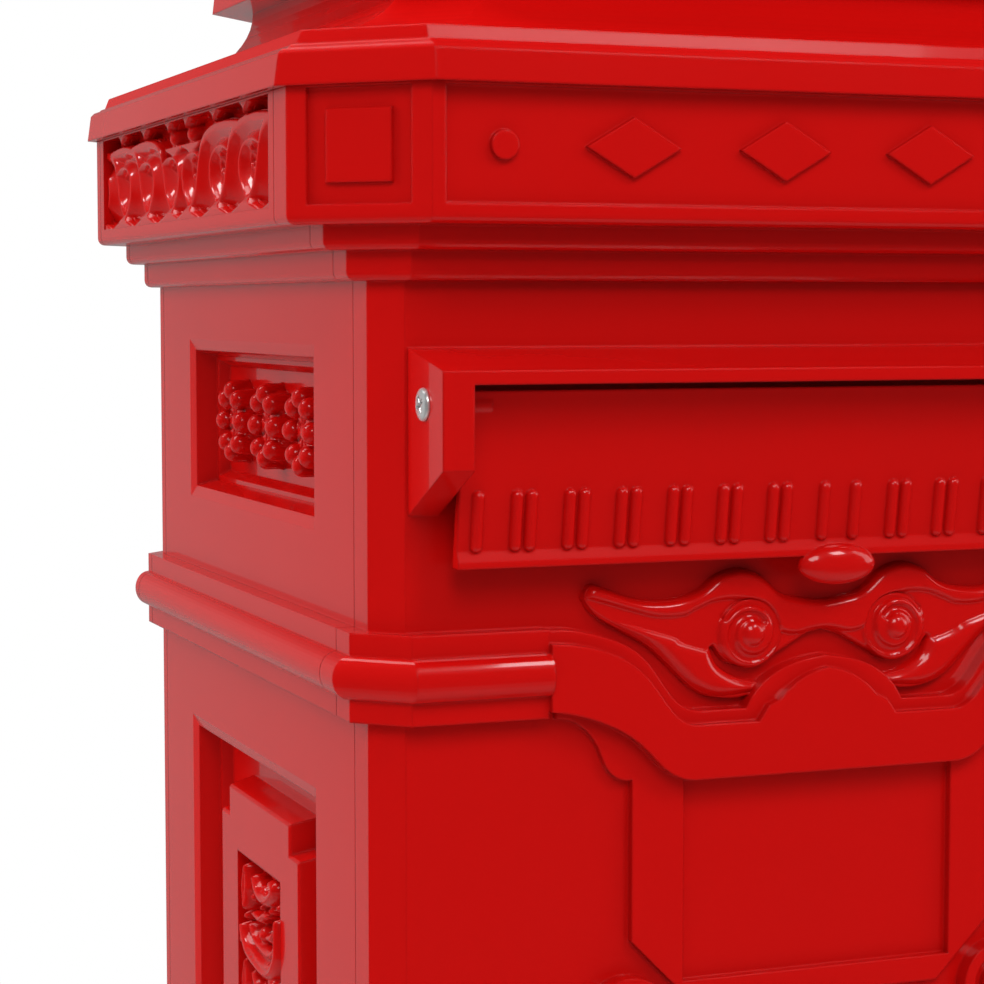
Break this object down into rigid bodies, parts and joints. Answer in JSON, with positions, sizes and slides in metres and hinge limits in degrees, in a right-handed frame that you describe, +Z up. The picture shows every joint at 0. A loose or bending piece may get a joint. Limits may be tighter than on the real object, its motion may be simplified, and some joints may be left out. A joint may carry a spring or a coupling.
{
  "type": "pillar mailbox",
  "caption": "Free-standing pillar mailbox of red cast aluminium with a hooded letter slot, hinged flap, carved panels, moulded cornice, hipped cap and a locking front door.",
  "frame": {"origin": "middle of the plinth's underside", "axes": "+Z up, +X to the right seen from the front, front towards -Y"},
  "size_m": [0.41, 0.392, 1.0047],
  "materials": {
    "red_paint": "glossy red paint",
    "mill_aluminium": "plain mill finish",
    "zinc_steel": "bright zinc plating",
    "chrome": "polished chrome"
  },
  "bodies": {
    "pillar": {"front_panel": "red_paint", "left_side_panel": "red_paint", "right_side_panel": "red_paint", "back_panel": "red_paint", "base_plinth": "red_paint", "roof": "red_paint", "flap_pivot_screws": "zinc_steel", "hinge_pins": "zinc_steel", "panel_screws": "zinc_steel", "base_screws": "zinc_steel", "roof_screws": "zinc_steel", "shelf_screws": "zinc_steel", "front_left_angle": "mill_aluminium", "front_right_angle": "mill_aluminium", "back_left_angle": "mill_aluminium", "back_right_angle": "mill_aluminium", "left_shelf_rail": "mill_aluminium", "right_shelf_rail": "mill_aluminium", "mail_shelf": "mill_aluminium"},
    "flap": {"mail_flap": "red_paint"},
    "door": {"access_door": "red_paint", "lock_body": "chrome", "lock_nut": "chrome"},
    "lock": {"lock_plug": "chrome", "lock_cam": "zinc_steel", "lock_cam_screw": "zinc_steel"}
  },
  "joints": [
    {"name": "flap_swing", "type": "hinge", "parent": "pillar", "child": "flap", "pos_m": [0, -0.1725, 0.7907], "axis": [-1, 0, 0], "range_deg": [0, 75]},
    {"name": "door_swing", "type": "hinge", "parent": "pillar", "child": "door", "pos_m": [0.1255, -0.1615, 0.325], "axis": [0, 0, 1], "range_deg": [0, 110]},
    {"name": "lock_turn", "type": "hinge", "parent": "door", "child": "lock", "pos_m": [-0.092, -0.1565, 0.325], "axis": [0, -1, 0], "range_deg": [0, 90]}
  ]
}
